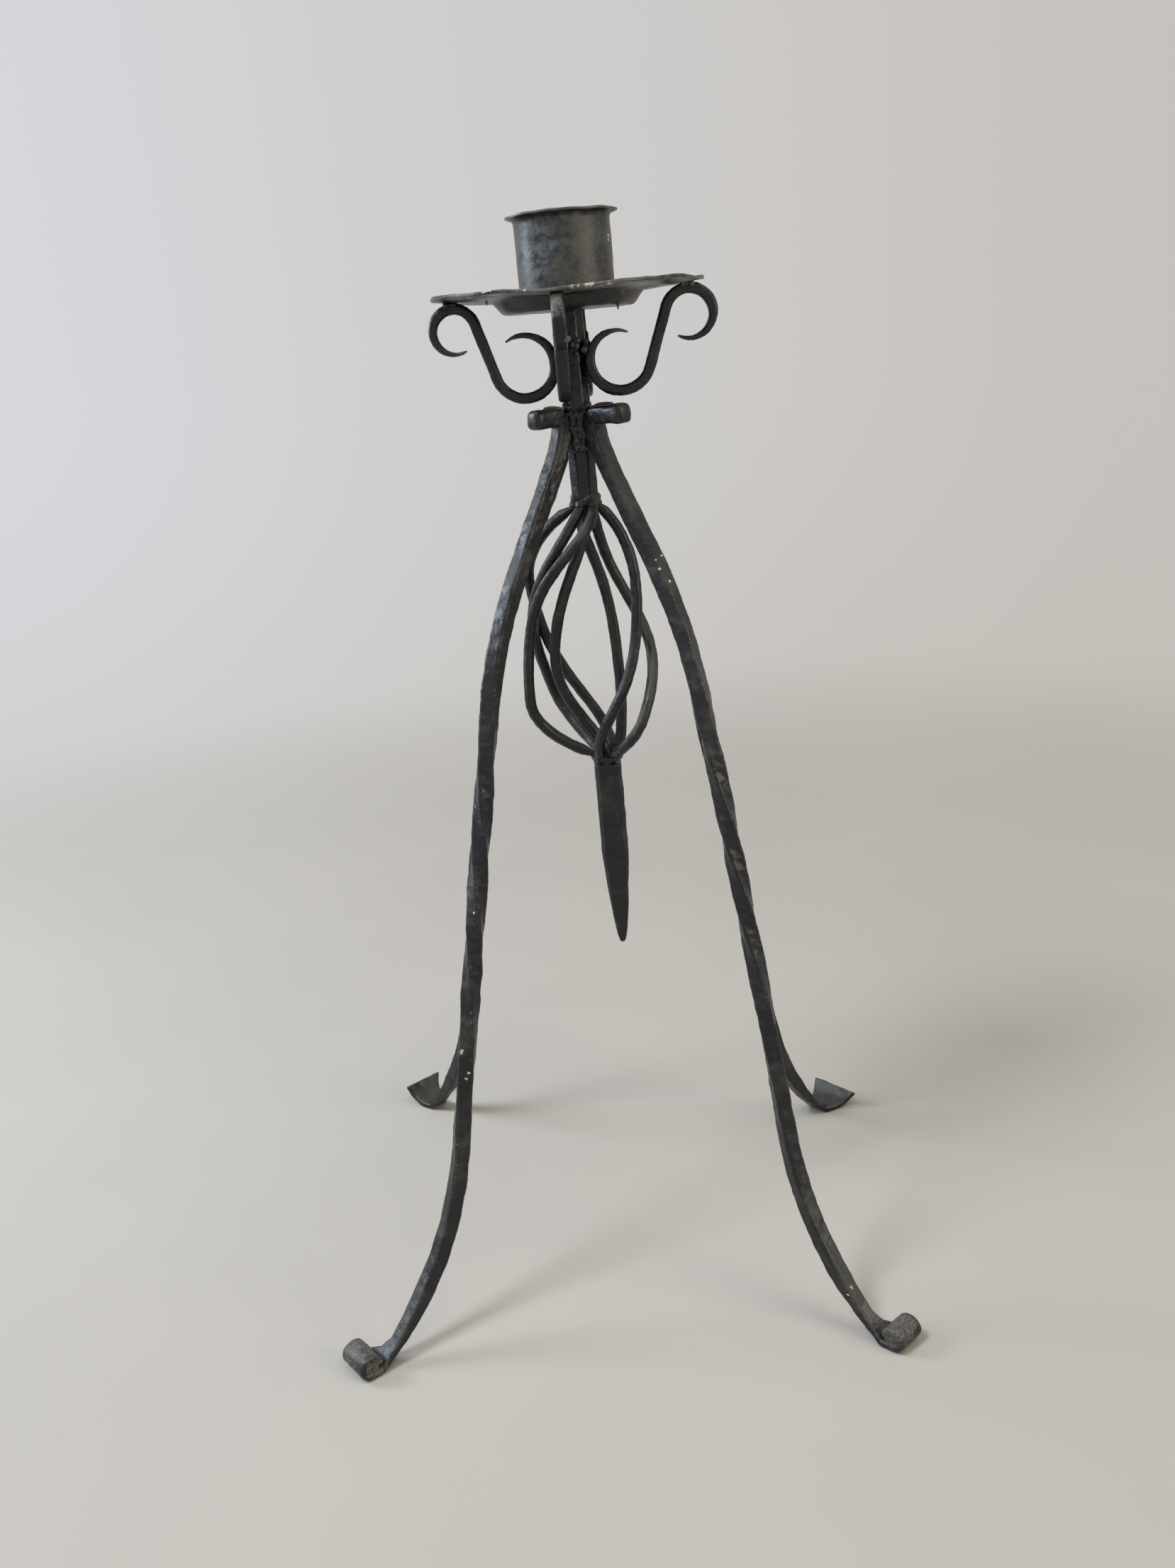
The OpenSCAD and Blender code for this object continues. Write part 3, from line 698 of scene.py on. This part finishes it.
BAR_CHIPS = [(651, 1485, 3.2), (661, 1514, 2.2), (658, 1522, 2.2), (668, 1288, 1.8), (933, 784, 1.8),
             (930, 803, 2.2), (945, 820, 2), (925, 790, 1.2), (1201, 1816, 2.4), (1196, 1826, 2)]
ROLL_RUBS = [(500, 1900, 30), (530, 1930, 16), (1262, 1868, 30), (1230, 1850, 16), (778, 432, 14)]
CUP_CHIPS = [(858, 332, 2.6), (858, 338, 2)]
# Blue marks on the cup: the three down its left side are a painted highlight, the two under the lip are
# smears
CUP_SMEARS_AND_HIGHLIGHT = [(768, 318, 14), (772, 345, 16), (765, 375, 14), (791, 306, 10), (812, 304, 6)]
PAN_CHIPS = [(740, 409, 2.4), (766, 405, 2), (835, 400, 2.6)]
PAN_FLECKS = [(747, 407, 16), (797, 402, 18), (822, 401, 18), (850, 399, 14), (690, 416, 14), (655, 420, 12)]
PAN_RUBS = [(806, 402, 70), (895, 412, 30), (660, 420, 30)]

iron_paint = painted_iron("black_paint", spots(BAR_CHIPS), spots(ROLL_RUBS))
pan_paint = painted_iron("pan_paint", spots(PAN_CHIPS), spots(PAN_RUBS), spots(PAN_FLECKS))
cup_paint = dusty_sheet("cup_paint", spots(CUP_CHIPS), spots(CUP_SMEARS_AND_HIGHLIGHT))

for piece in bars.values():
    finish_piece(piece, iron_paint)
finish_piece(pan, pan_paint)
finish_piece(cup, cup_paint)


# ---- Floor, backdrop and light ----

FLOOR_R = 3
FADE_START = 0.55                       # the floor runs out into the backdrop from here on
FADE_END = 1.5
FLOOR_DARK = (0.448, 0.414, 0.370, 1)
FLOOR_LIGHT = (0.466, 0.430, 0.385, 1)
CLOUD_SIZE = 0.25

bpy.ops.object.select_all(action="DESELECT")
bpy.ops.mesh.primitive_circle_add(vertices=96, radius=FLOOR_R, fill_type="NGON")
floor = bpy.context.active_object
floor.name = "floor"
matt = Finish("floor_paper")
cloud = matt.step(matt.noise(CLOUD_SIZE, 3), 0.3, 0.7)
paper = matt.node("ShaderNodeBsdfDiffuse", None, {"Color": matt.blend(cloud, FLOOR_DARK, FLOOR_LIGHT)})
away = matt.node("ShaderNodeVectorMath", {"operation": "LENGTH"}, {0: matt.place}, out="Value")
clear = matt.node("ShaderNodeBsdfTransparent")
gone = matt.step(away, FADE_START, FADE_END)
faded = matt.node("ShaderNodeMixShader", None, {0: gone, 1: paper, 2: clear})
matt.node("ShaderNodeOutputMaterial", None, {"Surface": faded})
floor.data.materials.append(matt.material)

DAYLIGHT = (0.86, 0.92, 1.0)
BLUE_DAYLIGHT = (0.74, 0.86, 1.0)
WARM = (1.0, 0.95, 0.86)
WARMER = (1.0, 0.92, 0.76)
STAND_MIDDLE = (0, 0, 0.3)


def lamp(name, kind, power, colour, towards, place=(0, 0, 0)):
    """A lamp that shines along a direction."""
    light = bpy.data.lights.new(name, kind)
    light.energy = power
    light.color = colour
    holder = bpy.data.objects.new(name, light)
    holder.location = place
    holder.rotation_euler = towards.to_track_quat("-Z", "Y").to_euler()
    scene.collection.objects.link(holder)
    return light


def sun(name, towards, power, spread, colour):
    """A far soft lamp."""
    lamp(name, "SUN", power, colour, Vector(towards)).angle = math.radians(spread)


def softbox(name, place, size, power, colour):
    """A square lamp that faces the stand."""
    light = lamp(name, "AREA", power, colour, Vector(STAND_MIDDLE) - Vector(place), place)
    light.shape = "SQUARE"
    light.size = size


sun("window_light", (0.55, 0.35, -1.0), power=1.0, spread=14, colour=DAYLIGHT)
sun("room_light", (-0.35, 0.3, -1.0), power=0.6, spread=30, colour=WARM)
softbox("window_box", (-1.35, 0.25, 0.85), size=0.5, power=14, colour=BLUE_DAYLIGHT)
softbox("sky_box", (-0.7, -0.5, 1.7), size=0.5, power=10, colour=DAYLIGHT)
softbox("room_box", (1.5, -1.0, 0.8), size=0.8, power=12, colour=WARMER)

WALL_LEFT = (0.69, 0.685, 0.735, 1)
WALL_MIDDLE = (0.615, 0.605, 0.595, 1)
WALL_RIGHT = (0.57, 0.535, 0.51, 1)
LOW_LEFT = (0.61, 0.60, 0.575, 1)
LOW_RIGHT = (0.545, 0.52, 0.475, 1)
GLOW = (0.95, 0.97, 1.0, 1)
GLOW_STRENGTH = 0.33


class Room(Finish):
    """The world's nodes: a soft glow on the stand, and the backdrop that is seen and mirrored."""

    def __init__(self):
        world = bpy.data.worlds.new("room")
        world.use_nodes = True
        scene.world = world
        self.tree = world.node_tree
        self.tree.nodes.clear()


room = Room()
rays = ("Is Camera Ray", "Is Glossy Ray", "Is Transmission Ray")
seen = room.largest(*[room.node("ShaderNodeLightPath", out=ray) for ray in rays])
heading = room.node("ShaderNodeTexCoord", out="Generated")
sideways = room.node("ShaderNodeSeparateXYZ", None, {"Vector": heading}, out="X")
upwards = room.node("ShaderNodeSeparateXYZ", None, {"Vector": heading}, out="Z")
wall = room.blend(room.step(sideways, -0.45, 0.05), WALL_LEFT, WALL_MIDDLE)
wall = room.blend(room.step(sideways, 0.0, 0.4), wall, WALL_RIGHT)
low = room.blend(room.step(sideways, -0.3, 0.3), LOW_LEFT, LOW_RIGHT)
wall = room.blend(room.step(upwards, 0.0, -0.4), wall, low)
glow = room.node("ShaderNodeBackground", None, {"Color": GLOW, "Strength": GLOW_STRENGTH})
backdrop = room.node("ShaderNodeBackground", None, {"Color": wall, "Strength": 1.0})
room_view = room.node("ShaderNodeMixShader", None, {0: seen, 1: glow, 2: backdrop})
room.node("ShaderNodeOutputWorld", None, {"Surface": room_view})

scene.view_settings.view_transform = "Standard"
